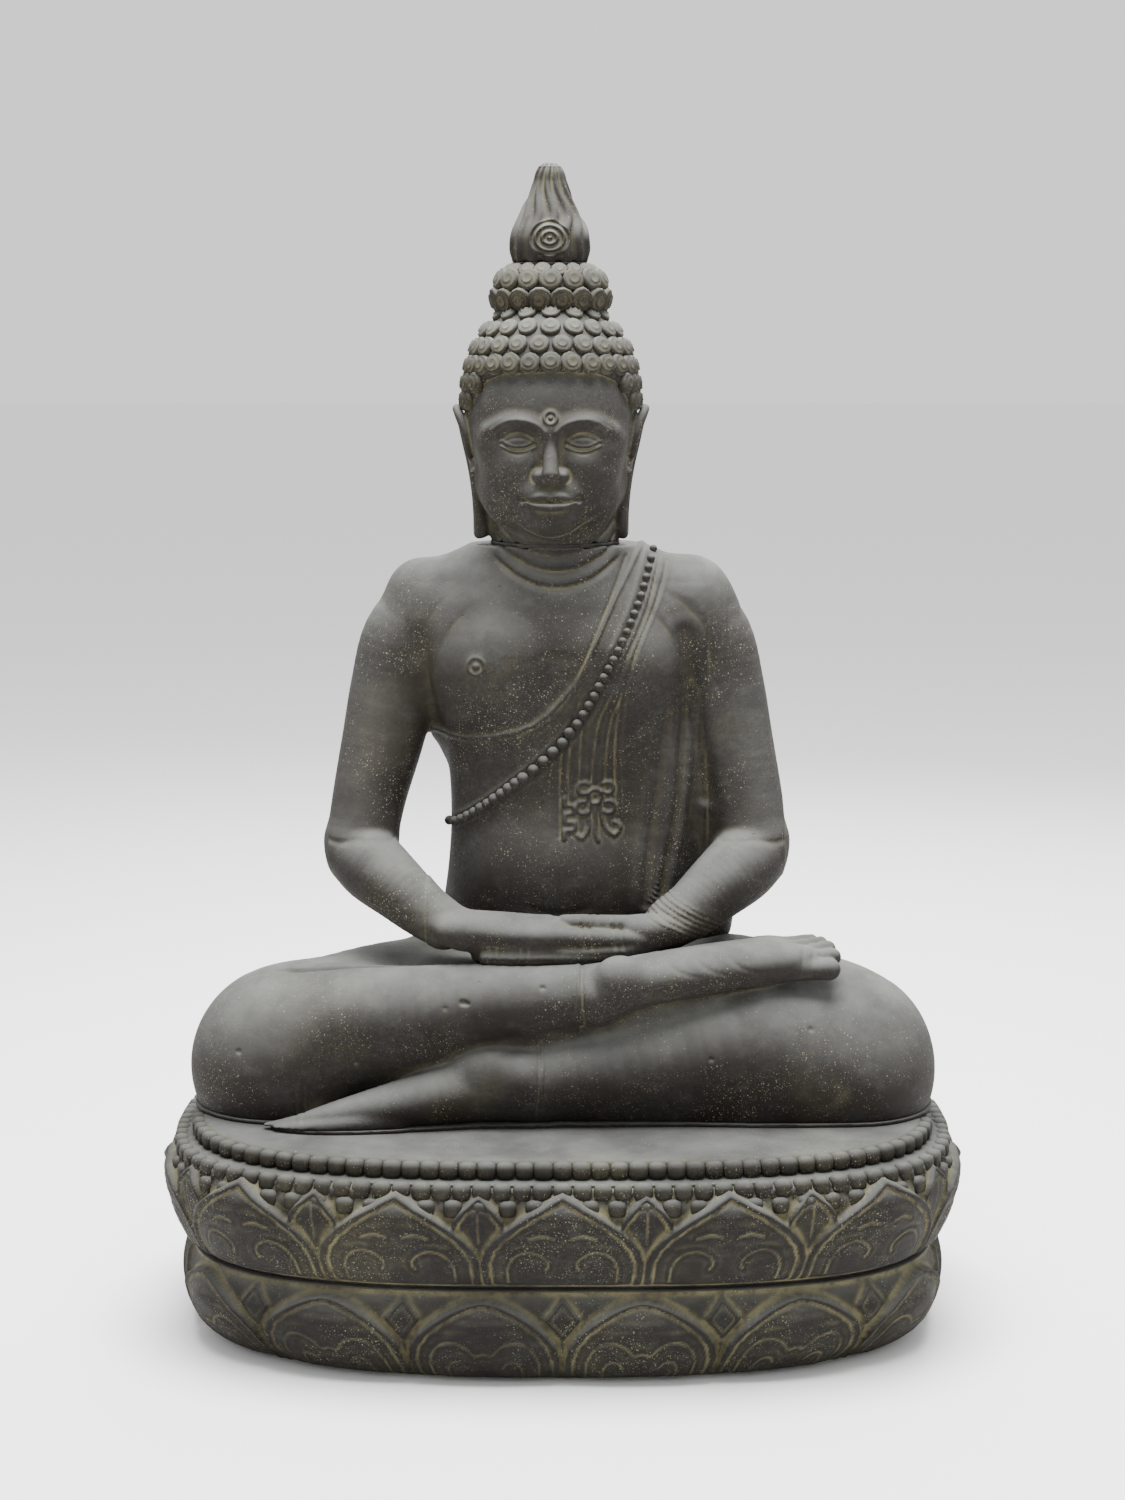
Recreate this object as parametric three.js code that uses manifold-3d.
// A seated Buddha garden statue in cast stone, about 1.2 m tall, built up from seven castings.
//
// From the ground up: two hollow lotus tiers, the crossed legs, the torso with its arms and hands,
// the head, the topknot and the flame. Each casting is bedded on mortar and pinned by steel dowels,
// and one long spine bar threads the seat, the lap, the torso and the neck.
//
// Millimetres, +Z up. The statue faces -Y, its right hand is at -X, and the origin is on the ground
// at the middle of the base.
import * as THREE from 'three';
import { LoftGeometry } from 'three/addons/geometries/LoftGeometry.js';
import { mergeVertices } from 'three/addons/utils/BufferGeometryUtils.js';
import Module from 'manifold-3d';

const wasm = await Module();
wasm.setup();

// ---- Driving dimensions ----------------------------------------------------------------------

const BASE_HALF_WIDTH = 415; // at the widest ring of the upper tier, petals included
const BASE_HALF_DEPTH = 270;
const OVAL_POWER = 3; // 2 is an ellipse, higher is squarer
const LOWER_TIER_HEIGHT = 98;
const UPPER_TIER_HEIGHT = 125;
const WALL = 62; // of the two hollow tiers
const FACE_INSET = 17; // from the widest ring to the plain face behind the petals
const SEAT_SLAB = 48; // stone over the hollow of the upper tier
const PETALS = 14;
const PETAL_RELIEF = 9;
const BEAD_HEIGHT = 18; // each of the two bead rows below the seat
const BEAD_INSET = 24; // of the lower bead row's face from the widest ring
const BEAD_STEP = 20; // how far the lower row stands out from the upper one

const MORTAR = 4; // thickness of every bed
const BED_INSET = 6; // how far a bed stays back from the faces of its castings

const DOWEL_RADIUS = 8;
const DOWEL_DEPTH = 50; // into the casting at each end
const SPINE_RADIUS = 10;
const FINIAL_DOWEL_RADIUS = 6;
const FIT = 0.5; // radial room of a bar in its hole
const TIER_DOWEL_INSET = 115; // from the base's side to the dowels between the tiers
const TIER_DOWEL_RING = 60; // inset of the oval that these dowels stand on
const BAR_STOP = 8; // stone left under the bars that stand in the seat slab
const NECK_BAR = 90; // length of the spine bar inside the neck

const KNEE_SPAN = 766; // outside of one knee to the outside of the other
const KNEE_RADIUS = 96;
const LAP_HEIGHT = 150; // seat to the waist bed
const LAP_WALL = 45; // stone over the hollow of the lap
const LAP_HOLLOW_HALF_WIDTH = 150;
const LAP_HOLLOW_HALF_DEPTH = 62;
const LAP_HOLLOW_Y = -12; // from the body's upright axis

const TORSO_HEIGHT = 421; // waist bed to neck bed
const TORSO_WALL = 42;
const WAIST_HALF_WIDTH = 126;
const WAIST_HALF_DEPTH = 80;
const WAIST_SEAT_HALF_WIDTH = 190; // of the flat place in the lap that the torso stands on
const WAIST_SEAT_HALF_DEPTH = 130;
const TORSO_Y = 80; // the body's upright axis stands behind the middle of the base
const TORSO_X = -6;
const SHOULDER_HALF_WIDTH = 192;
const UPPER_ARM_RADIUS = 46;
const ELBOW_RADIUS = 38;
const WRIST_RADIUS = 27;
const HAND_THICKNESS = 24;

const HEAD_HEIGHT = 238; // neck bed to the topknot's bed
const HEAD_HALF_WIDTH = 86;
const HEAD_HALF_DEPTH = 98;
const NECK_RADIUS = 64;
const HAIR_THICKNESS = 8;
const HAIR_DOME = 84; // head top to the middle of the hair cap
const HAIRLINE = 62; // head top to the hair's front edge
const TOPKNOT_TUCK = 8; // how far the topknot draws in at its foot
const FLAME_TUCK = 5;
const TOPKNOT_HEIGHT = 41;
const TOPKNOT_RADIUS = 60;
const FLAME_HEIGHT = 103;
const FLAME_RADIUS = 42;
const FLAME_DEPTH_SHARE = 0.86; // the topknot and the flame are a little flat from front to back

const ROUND_SIDES = 24;
const BAR_SIDES = 12;

// ---- Levels, from the ground up --------------------------------------------------------------

const lowerTop = LOWER_TIER_HEIGHT;
const upperFoot = lowerTop + MORTAR;
const seatTop = upperFoot + UPPER_TIER_HEIGHT;
const lapFoot = seatTop + MORTAR;
const lapTop = lapFoot + LAP_HEIGHT;
const torsoFoot = lapTop + MORTAR;
const torsoTop = torsoFoot + TORSO_HEIGHT;
const headFoot = torsoTop + MORTAR;
const headTop = headFoot + HEAD_HEIGHT;
const topknotFoot = headTop + MORTAR;
const topknotTop = topknotFoot + TOPKNOT_HEIGHT;
const flameFoot = topknotTop + MORTAR;

const headX = TORSO_X - 6;
const headY = TORSO_Y - 20;
const kneeX = KNEE_SPAN / 2 - KNEE_RADIUS;

// ---- Solids ------------------------------------------------------------------------------------

function solidOf(geometry) {
  const bare = new THREE.BufferGeometry();
  bare.setAttribute('position', geometry.attributes.position);
  bare.setIndex(geometry.index);
  const merged = mergeVertices(bare, 1e-4);
  return new wasm.Manifold(new wasm.Mesh({
    numProp: 3,
    vertProperties: merged.attributes.position.array,
    triVerts: new Uint32Array(merged.index.array),
  }));
}

function geometryOf(solid) {
  const mesh = solid.getMesh();
  const geometry = new THREE.BufferGeometry();
  geometry.setAttribute('position', new THREE.BufferAttribute(mesh.vertProperties, 3));
  geometry.setIndex(new THREE.BufferAttribute(mesh.triVerts, 1));
  geometry.computeVertexNormals();
  return geometry;
}

const joined = (solids) => solids.reduce((all, next) => all.add(next));
const cut = (solid, tools) => tools.reduce((left, tool) => left.subtract(tool), solid);

// A closed loft through horizontal or slanted rings, each ordered counterclockwise from above.
function loft(rings) {
  return solidOf(new LoftGeometry(rings, { capStart: true, capEnd: true }));
}

// A ring of the oval that all of the base follows. relief(turn) pushes a point outwards.
function ovalRing(halfWidth, halfDepth, z, relief = () => 0) {
  return ovalTurns.map(({ turn, angle }) => {
    const out = relief(turn);
    const x = Math.abs(Math.cos(angle)) ** (2 / OVAL_POWER) * Math.sign(Math.cos(angle));
    const y = Math.abs(Math.sin(angle)) ** (2 / OVAL_POWER) * Math.sign(Math.sin(angle));
    return new THREE.Vector3(x * (halfWidth + out), y * (halfDepth + out), z);
  });
}

// Angles that space the ring's points evenly round the oval, starting at the front.
const OVAL_POINTS = PETALS * 6;
const ovalTurns = evenTurns(OVAL_POINTS);

function evenTurns(count) {
  const steps = 3600;
  const lengths = [0];
  const point = (i) => {
    const a = (i / steps) * 2 * Math.PI - Math.PI / 2;
    return new THREE.Vector2(
      Math.abs(Math.cos(a)) ** (2 / OVAL_POWER) * Math.sign(Math.cos(a)) * BASE_HALF_WIDTH,
      Math.abs(Math.sin(a)) ** (2 / OVAL_POWER) * Math.sign(Math.sin(a)) * BASE_HALF_DEPTH,
    );
  };
  for (let i = 1; i <= steps; i++) lengths.push(lengths[i - 1] + point(i).distanceTo(point(i - 1)));
  const turns = [];
  let i = 0;
  for (let k = 0; k < count; k++) {
    const wanted = (k / count) * lengths[steps];
    while (lengths[i + 1] < wanted) i++;
    const share = (wanted - lengths[i]) / (lengths[i + 1] - lengths[i]);
    turns.push({ turn: k / count, angle: ((i + share) / steps) * 2 * Math.PI - Math.PI / 2 });
  }
  return turns;
}

// A plain oval block between two levels, inset from the widest ring.
function ovalBlock(inset, zLow, zHigh) {
  const ring = (z) => ovalRing(BASE_HALF_WIDTH - inset, BASE_HALF_DEPTH - inset, z);
  return loft([ring(zLow), ring(zHigh)]);
}

function ellipseRing(x, y, z, halfWidth, halfDepth, sides = ROUND_SIDES) {
  return Array.from({ length: sides }, (_, i) => {
    const a = (i / sides) * 2 * Math.PI;
    return new THREE.Vector3(x + Math.cos(a) * halfWidth, y + Math.sin(a) * halfDepth, z);
  });
}

// An upright body: rows of [z, x, y, half width, half depth].
function column(rows) {
  return loft(rows.map(([z, x, y, halfWidth, halfDepth]) => ellipseRing(x, y, z, halfWidth, halfDepth)));
}

// A limb through stations of [x, y, z, half breadth, half height], with rounded ends.
function limb(stations, sides = 16) {
  const curve = new THREE.CatmullRomCurve3(stations.map(([x, y, z]) => new THREE.Vector3(x, y, z)));
  const last = stations.length - 1;
  const rings = [];
  const addRing = (t, centre, breadth, height) => {
    const along = curve.getTangent(t);
    const side = new THREE.Vector3(0, 0, 1).cross(along).normalize();
    const up = along.clone().cross(side);
    rings.push(Array.from({ length: sides }, (_, i) => {
      const a = (i / sides) * 2 * Math.PI;
      return centre.clone()
        .addScaledVector(side, Math.cos(a) * breadth)
        .addScaledVector(up, Math.sin(a) * height);
    }));
  };
  const roundEnd = (t, station, sign, angles) => angles.forEach((angle) => {
    const reach = Math.min(station[3], station[4]) * Math.sin(angle) * sign;
    const centre = curve.getPoint(t).addScaledVector(curve.getTangent(t), reach);
    addRing(t, centre, station[3] * Math.cos(angle), station[4] * Math.cos(angle));
  });
  roundEnd(0, stations[0], -1, [1.35, 0.95, 0.5]);
  stations.forEach(([, , , breadth, height], i) => {
    addRing(i / last, curve.getPoint(i / last), breadth, height);
    if (i === last) return;
    const next = stations[i + 1];
    const t = (i + 0.5) / last;
    addRing(t, curve.getPoint(t), (breadth + next[3]) / 2, (height + next[4]) / 2);
  });
  roundEnd(1, stations[last], 1, [0.5, 0.95, 1.35]);
  return loft(rings);
}

function ball(x, y, z, rx, ry, rz, detail = 18) {
  const geometry = new THREE.SphereGeometry(1, detail, Math.round(detail * 0.7));
  geometry.rotateX(Math.PI / 2).scale(rx, ry, rz).translate(x, y, z);
  return solidOf(geometry);
}

function block(xLow, xHigh, yLow, yHigh, zLow, zHigh) {
  const geometry = new THREE.BoxGeometry(xHigh - xLow, yHigh - yLow, zHigh - zLow);
  return solidOf(geometry.translate((xLow + xHigh) / 2, (yLow + yHigh) / 2, (zLow + zHigh) / 2));
}

function bar(x, y, zLow, zHigh, radius) {
  const geometry = new THREE.CylinderGeometry(radius, radius, zHigh - zLow, BAR_SIDES);
  return solidOf(geometry.rotateX(Math.PI / 2).translate(x, y, (zLow + zHigh) / 2));
}

// A turned form from [radius, z] points, a little flat from front to back.
function turned(profile, x, y, sides = 28) {
  const points = profile.map(([radius, z]) => new THREE.Vector2(radius, z));
  const geometry = new THREE.LatheGeometry(points, sides);
  geometry.rotateX(Math.PI / 2).scale(1, FLAME_DEPTH_SHARE, 1).translate(x, y, 0);
  return solidOf(geometry);
}

// ---- Bars and their holes ------------------------------------------------------------------------

const tierDowelX = BASE_HALF_WIDTH - TIER_DOWEL_INSET;
const tierDowelRing = { x: BASE_HALF_WIDTH - TIER_DOWEL_RING, y: BASE_HALF_DEPTH - TIER_DOWEL_RING };
const tierDowelY = tierDowelRing.y * (1 - (tierDowelX / tierDowelRing.x) ** OVAL_POWER) ** (1 / OVAL_POWER);
const seatDowelX = kneeX;
const seatDowelY = 0;
const barFoot = seatTop - SEAT_SLAB + BAR_STOP;

// Each bar's axis, lower end, upper end and radius.
const tierDowel = (x, y) => [x, y, lowerTop - DOWEL_DEPTH, upperFoot + DOWEL_DEPTH, DOWEL_RADIUS];
const seatDowel = (x) => [x, seatDowelY, barFoot, lapFoot + DOWEL_DEPTH, DOWEL_RADIUS];
const bars = {
  tier_dowel_front_right: tierDowel(-tierDowelX, -tierDowelY),
  tier_dowel_front_left: tierDowel(tierDowelX, -tierDowelY),
  tier_dowel_rear_right: tierDowel(-tierDowelX, tierDowelY),
  tier_dowel_rear_left: tierDowel(tierDowelX, tierDowelY),
  seat_dowel_right: seatDowel(-seatDowelX),
  seat_dowel_left: seatDowel(seatDowelX),
  spine_bar: [TORSO_X, TORSO_Y, barFoot, headFoot + NECK_BAR, SPINE_RADIUS],
  finial_dowel: [headX, headY, headTop - DOWEL_DEPTH, flameFoot + DOWEL_DEPTH, FINIAL_DOWEL_RADIUS],
};
const holes = Object.values(bars).map(([x, y, zLow, zHigh, radius]) => (
  bar(x, y, zLow - FIT, zHigh + FIT, radius + FIT)
));

// ---- The lotus base --------------------------------------------------------------------------------

// How high a petal's outline stands at a turn round the base, from 0 in a valley to 1 at its tip.
function petalTop(turn, shift) {
  const across = Math.abs((((turn * PETALS + shift + 0.5) % 1) + 1) % 1 - 0.5) * 2;
  return (1 - across ** 2.2) ** 0.6;
}

// A tier's outer face. Rows are [z, inset from the widest ring, petal level], where the level runs
// from 0 at the petals' foot to 1 at their tips, and null where there are none.
function tier(rows, shift) {
  return loft(rows.map(([z, inset, level]) => {
    const relief = (turn) => {
      if (level === null) return 0;
      const cover = THREE.MathUtils.clamp((petalTop(turn, shift) - level) / 0.22, 0, 1);
      return PETAL_RELIEF * (cover - 1);
    };
    return ovalRing(BASE_HALF_WIDTH - inset, BASE_HALF_DEPTH - inset, z, relief);
  }));
}

function lowerTier() {
  const body = tier([
    [0, 47, null],
    [8, 34, 0],
    [30, 24, 0.15],
    [50, 19, 0.4],
    [68, 17, 0.65],
    [82, 19, 0.85],
    [92, 23, 1],
    [lowerTop, 28, null],
  ], 0.5);
  return cut(body, [ovalBlock(FACE_INSET + WALL, -10, lowerTop + 10)]);
}

function upperTier() {
  const bead = seatTop - BEAD_HEIGHT;
  const body = tier([
    [upperFoot, 29, null],
    [upperFoot + 8, 22, 0],
    [upperFoot + 30, 13, 0.2],
    [upperFoot + 54, 6, 0.45],
    [upperFoot + 78, 0, 0.72],
    [upperFoot + 90, 3, 0.88],
    [upperFoot + 102, 9, 1],
    [upperFoot + 102, BEAD_INSET, null],
    [bead, BEAD_INSET, null],
    [bead, BEAD_INSET + BEAD_STEP, null],
    [seatTop - 3, BEAD_INSET + BEAD_STEP, null],
    [seatTop, BEAD_INSET + BEAD_STEP + 4, null],
  ], 0);
  return cut(body, [ovalBlock(FACE_INSET + WALL, upperFoot - 10, seatTop - SEAT_SLAB)]);
}

function tierMortar() {
  return cut(ovalBlock(29 + BED_INSET, lowerTop, upperFoot), [
    ovalBlock(FACE_INSET + WALL - BED_INSET, lowerTop - 1, upperFoot + 1),
  ]);
}

// ---- The crossed legs ------------------------------------------------------------------------------

// Heights here are above the lap casting's foot, and the limbs' undersides are cut off flat at it.
function legForms(lift = 0) {
  const up = lapFoot + lift;
  const thigh = (side) => limb([
    [side * 90, TORSO_Y + 5, up + 78, 86, 84],
    [side * kneeX * 0.68, 45, up + 72, 84, 82],
    [side * kneeX, -8, up + 34, KNEE_RADIUS - 8, KNEE_RADIUS],
  ]);
  const knee = (side) => ball(side * kneeX, -8, up + 36, KNEE_RADIUS, KNEE_RADIUS - 4, KNEE_RADIUS);
  const rightShin = limb([
    [-kneeX, -28, up + 52, 66, 70],
    [-200, -60, up + 84, 56, 58],
    [-110, -80, up + 106, 46, 47],
    [-40, -92, up + 120, 38, 37],
    [24, -98, up + 130, 30, 28],
  ]);
  const rightFoot = limb([
    [50, -92, up + 132, 34, 30],
    [130, -88, up + 146, 34, 25],
    [205, -78, up + 154, 34, 20],
    [255, -70, up + 152, 30, 13],
  ]);
  const leftShin = limb([
    [kneeX, -24, up + 50, 66, 78],
    [200, -52, up + 64, 58, 72],
    [110, -70, up + 58, 48, 60],
    [36, -82, up + 48, 42, 50],
    [-25, -88, up + 38, 38, 40],
  ]);
  const leftFoot = limb([
    [-60, -88, up + 36, 38, 40],
    [-130, -98, up + 22, 34, 30],
    [-205, -106, up + 12, 30, 22],
    [-272, -112, up + 4, 24, 18],
  ]);
  const hips = column([
    [up - 40, TORSO_X, TORSO_Y + 14, 188, 88],
    [up + 40, TORSO_X, TORSO_Y + 14, 200, 96],
    [up + 90, TORSO_X, TORSO_Y + 8, 176, 92],
    [up + LAP_HEIGHT, TORSO_X, TORSO_Y, 134, 86],
  ]);
  return joined([
    hips, thigh(-1), thigh(1), knee(-1), knee(1), rightShin, leftShin, rightFoot, leftFoot,
  ]);
}

const below = (z) => block(-900, 900, -900, 900, z - 900, z);
const above = (z) => block(-900, 900, -900, 900, z, z + 900);

function crossedLegs() {
  const waistSeat = loft([0, 200].map((rise) => (
    ellipseRing(TORSO_X, TORSO_Y, lapTop + rise, WAIST_SEAT_HALF_WIDTH, WAIST_SEAT_HALF_DEPTH)
  )));
  const hollow = column([
    [lapFoot - 10, TORSO_X, TORSO_Y + LAP_HOLLOW_Y, LAP_HOLLOW_HALF_WIDTH, LAP_HOLLOW_HALF_DEPTH],
    [lapTop - LAP_WALL - 30, TORSO_X, TORSO_Y + LAP_HOLLOW_Y, LAP_HOLLOW_HALF_WIDTH - 10, LAP_HOLLOW_HALF_DEPTH - 4],
    [lapTop - LAP_WALL, TORSO_X, TORSO_Y - 6, 90, 36],
  ]);
  return cut(legForms(), [below(lapFoot), waistSeat, hollow]);
}

function seatMortar() {
  const whole = cut(legForms(), [below(lapFoot), above(lapFoot + 1)]);
  const share = (half) => (half - BED_INSET * 2) / half;
  const footprint = legFootprint(whole, share(KNEE_SPAN / 2), share(BASE_HALF_DEPTH / 2));
  return cut(footprint, [column([seatTop - 1, lapFoot + 1].map((z) => (
    [z, TORSO_X, TORSO_Y + LAP_HOLLOW_Y, LAP_HOLLOW_HALF_WIDTH - BED_INSET, LAP_HOLLOW_HALF_DEPTH - BED_INSET]
  )))]);
}

// The slice of the legs at their foot, drawn in by BED_INSET and brought to the mortar's thickness.
function legFootprint(slice, shareX, shareY) {
  const middleY = 20;
  return slice
    .translate([0, -middleY, -lapFoot])
    .scale([shareX, shareY, MORTAR])
    .translate([0, middleY, seatTop]);
}

// ---- The torso, arms and hands ----------------------------------------------------------------------

const torsoShare = (share) => torsoFoot + TORSO_HEIGHT * share;

// Rows of [share of the torso's height, half width, half depth, forward shift].
const TORSO_ROWS = [
  [0, WAIST_HALF_WIDTH, WAIST_HALF_DEPTH, 0],
  [0.12, 120, 80, -4],
  [0.3, 112, 78, -2],
  [0.45, 114, 80, 0],
  [0.58, 128, 86, 0],
  [0.72, 146, 90, 2],
  [0.84, 158, 84, 6],
  [0.93, 146, 70, 8],
  [0.975, 126, 62, 4],
  [1, 90, NECK_RADIUS, 0],
];

function torsoAndArms() {
  const trunk = column(TORSO_ROWS.map(([share, halfWidth, halfDepth, back]) => (
    [torsoShare(share), TORSO_X, TORSO_Y + back, halfWidth, halfDepth]
  )));
  const shoulderX = SHOULDER_HALF_WIDTH - UPPER_ARM_RADIUS;
  const elbowX = SHOULDER_HALF_WIDTH + 13;
  const elbowZ = torsoShare(0.265);
  const wristZ = lapTop + 34;
  const upperArm = (side) => limb([
    [TORSO_X + side * (shoulderX - 22), TORSO_Y + 4, torsoShare(0.86), UPPER_ARM_RADIUS - 2, UPPER_ARM_RADIUS],
    [TORSO_X + side * (shoulderX + 12), TORSO_Y, torsoShare(0.76), UPPER_ARM_RADIUS + 4, UPPER_ARM_RADIUS + 2],
    [TORSO_X + side * (shoulderX + 36), TORSO_Y - 12, torsoShare(0.55), UPPER_ARM_RADIUS - 4, UPPER_ARM_RADIUS],
    [TORSO_X + side * elbowX, TORSO_Y - 40, elbowZ, ELBOW_RADIUS - 1, ELBOW_RADIUS],
  ]);
  const forearm = (side) => limb([
    [TORSO_X + side * elbowX, TORSO_Y - 40, elbowZ, ELBOW_RADIUS, ELBOW_RADIUS - 3],
    [TORSO_X + side * (elbowX - 38), TORSO_Y - 88, (elbowZ + wristZ) / 2 + 4, ELBOW_RADIUS - 6, ELBOW_RADIUS - 5],
    [TORSO_X + side * (elbowX - 90), TORSO_Y - 128, wristZ, WRIST_RADIUS + 4, WRIST_RADIUS],
  ]);
  const hand = (side, z) => limb([
    [TORSO_X + side * (elbowX - 92), TORSO_Y - 130, z, 30, HAND_THICKNESS / 2 + 5],
    [TORSO_X + side * 40, TORSO_Y - 144, z, 40, HAND_THICKNESS / 2],
    [TORSO_X - side * 62, TORSO_Y - 140, z, 32, HAND_THICKNESS / 2 - 2],
  ], 16);
  const handZ = lapTop + 16;
  const drape = limb([
    [TORSO_X + 124, TORSO_Y + 4, torsoShare(0.66), 26, 30],
    [TORSO_X + 140, TORSO_Y, torsoShare(0.42), 40, 36],
    [TORSO_X + 142, TORSO_Y - 8, torsoShare(0.15), 34, 42],
  ], 14);
  const hollow = column([
    [torsoFoot - 10, TORSO_X, TORSO_Y, WAIST_HALF_WIDTH - TORSO_WALL, WAIST_HALF_DEPTH - TORSO_WALL],
    [torsoShare(0.3), TORSO_X, TORSO_Y, 112 - TORSO_WALL, 78 - TORSO_WALL],
    [torsoShare(0.62), TORSO_X, TORSO_Y, 128 - TORSO_WALL, 86 - TORSO_WALL],
    [torsoShare(0.78), TORSO_X, TORSO_Y, SPINE_RADIUS * 2, SPINE_RADIUS * 2],
  ]);
  const whole = joined([
    trunk, drape,
    upperArm(-1), upperArm(1), forearm(-1), forearm(1),
    hand(1, handZ), hand(-1, handZ + HAND_THICKNESS - 3),
  ]);
  const lapClearance = cut(joined([legForms(1), legForms(0)]), [above(lapTop + 70)]);
  const waist = loft([-60, 0].map((rise) => (
    ellipseRing(TORSO_X, TORSO_Y, torsoFoot + rise, WAIST_SEAT_HALF_WIDTH, WAIST_SEAT_HALF_DEPTH)
  )));
  return largest(cut(whole, [lapClearance, waist, hollow]));
}

// The main body of a cut solid, without the slivers that a cut may leave.
function largest(solid) {
  return solid.decompose().sort((a, b) => b.volume() - a.volume())[0];
}

function ringBed(zLow, x, y, halfWidth, halfDepth, holeWidth, holeDepth) {
  const outer = column([[zLow, x, y, halfWidth, halfDepth], [zLow + MORTAR, x, y, halfWidth, halfDepth]]);
  const inner = column([[zLow - 1, x, y, holeWidth, holeDepth], [zLow + MORTAR + 1, x, y, holeWidth, holeDepth]]);
  return cut(outer, [inner]);
}

function waistMortar() {
  const wall = TORSO_WALL - BED_INSET;
  return ringBed(
    lapTop, TORSO_X, TORSO_Y,
    WAIST_HALF_WIDTH - BED_INSET, WAIST_HALF_DEPTH - BED_INSET, WAIST_HALF_WIDTH - wall, WAIST_HALF_DEPTH - wall,
  );
}

function neckMortar() {
  const halfWidth = NECK_RADIUS - BED_INSET;
  const hole = SPINE_RADIUS + BED_INSET;
  return ringBed(torsoTop, TORSO_X, TORSO_Y, halfWidth, halfWidth - 4, hole, hole);
}

// ---- The head, topknot and flame ----------------------------------------------------------------------

function head() {
  const middleZ = headFoot + HEAD_HEIGHT * 0.53;
  const neck = column([
    [headFoot, TORSO_X, TORSO_Y, NECK_RADIUS - 1, NECK_RADIUS - 5],
    [headFoot + 50, (TORSO_X + headX) / 2, TORSO_Y - 4, NECK_RADIUS, NECK_RADIUS],
    [headFoot + 100, headX, headY, NECK_RADIUS, NECK_RADIUS],
  ]);
  const skull = ball(headX, headY, middleZ, HEAD_HALF_WIDTH, HEAD_HALF_DEPTH, HEAD_HEIGHT * 0.47, 22);
  const jaw = ball(headX, headY - 36, headFoot + 76, 62, 58, 66);
  const nose = limb([
    [headX, headY - 92, headFoot + 138, 8, 10],
    [headX, headY - 104, headFoot + 106, 14, 10],
  ], 12);
  const hair = cut(
    ball(
      headX, headY + 4, headTop - HAIR_DOME,
      HEAD_HALF_WIDTH + HAIR_THICKNESS, HEAD_HALF_DEPTH + HAIR_THICKNESS, HAIR_DOME + HAIR_THICKNESS, 24,
    ),
    [block(-300, 300, headY - 300, headY - 20, headFoot - 10, headTop - HAIRLINE)],
  );
  const nape = ball(
    headX, headY + 14, headTop - 130,
    HEAD_HALF_WIDTH + HAIR_THICKNESS - 3, HEAD_HALF_DEPTH - 4, 76,
  );
  const backOnly = cut(nape, [block(-300, 300, headY - 300, headY + 6, headFoot - 10, headTop)]);
  const ear = (side) => limb([
    [headX + side * (HEAD_HALF_WIDTH + 6), headY + 8, headTop - 106, 18, 10],
    [headX + side * (HEAD_HALF_WIDTH - 2), headY + 6, headFoot + 82, 15, 10],
    [headX + side * (HEAD_HALF_WIDTH - 11), headY + 4, headFoot + 16, 13, 11],
  ], 12);
  const whole = joined([neck, skull, jaw, nose, hair, backOnly, ear(-1), ear(1)]);
  return cut(whole, [below(headFoot), above(headTop)]);
}

function topknot() {
  const r = TOPKNOT_RADIUS;
  return turned([
    [0, topknotFoot],
    [r - TOPKNOT_TUCK, topknotFoot],
    [r, topknotFoot + 8],
    [r - 3, topknotFoot + 20],
    [r - 9, topknotFoot + 33],
    [r - 17, topknotTop],
    [0, topknotTop],
  ], headX, headY);
}

function flame() {
  const r = FLAME_RADIUS;
  const rise = (share) => flameFoot + FLAME_HEIGHT * share;
  return turned([
    [0, flameFoot],
    [r - FLAME_TUCK, flameFoot],
    [r, rise(0.14)],
    [r - 1, rise(0.24)],
    [r * 0.84, rise(0.4)],
    [r * 0.66, rise(0.56)],
    [r * 0.5, rise(0.7)],
    [r * 0.37, rise(0.84)],
    [r * 0.24, rise(0.95)],
    [0, rise(1)],
  ], headX, headY);
}

function roundBed(zLow, x, y, radius, hole) {
  return ringBed(zLow, x, y, radius, radius * FLAME_DEPTH_SHARE, hole, hole);
}

// ---- The assembly ----------------------------------------------------------------------------------------

const stone = new THREE.MeshStandardMaterial({ color: 0x57544c, roughness: 0.93, metalness: 0 });
const mortar = new THREE.MeshStandardMaterial({ color: 0x7d765c, roughness: 0.97, metalness: 0 });
const steel = new THREE.MeshStandardMaterial({ color: 0x8a8d90, roughness: 0.45, metalness: 1 });

const statue = new THREE.Group();

function add(name, solid, material) {
  const mesh = new THREE.Mesh(geometryOf(solid), material);
  mesh.name = name;
  statue.add(mesh);
}

const finialHole = FINIAL_DOWEL_RADIUS + BED_INSET;

add('lower_lotus_tier', cut(lowerTier(), holes), stone);
add('tier_mortar', cut(tierMortar(), holes), mortar);
add('upper_lotus_tier', cut(upperTier(), holes), stone);
add('seat_mortar', largest(cut(seatMortar(), holes)), mortar);
add('crossed_legs', cut(crossedLegs(), holes), stone);
add('waist_mortar', waistMortar(), mortar);
add('torso_and_arms', cut(torsoAndArms(), holes), stone);
add('neck_mortar', neckMortar(), mortar);
add('head', cut(head(), holes), stone);
add('topknot_mortar', roundBed(headTop, headX, headY, TOPKNOT_RADIUS - TOPKNOT_TUCK - BED_INSET, finialHole), mortar);
add('topknot', cut(topknot(), holes), stone);
add('finial_mortar', roundBed(topknotTop, headX, headY, FLAME_RADIUS - FLAME_TUCK - BED_INSET, finialHole), mortar);
add('flame_finial', cut(flame(), holes), stone);
for (const [name, place] of Object.entries(bars)) add(name, bar(...place), steel);

export default statue;
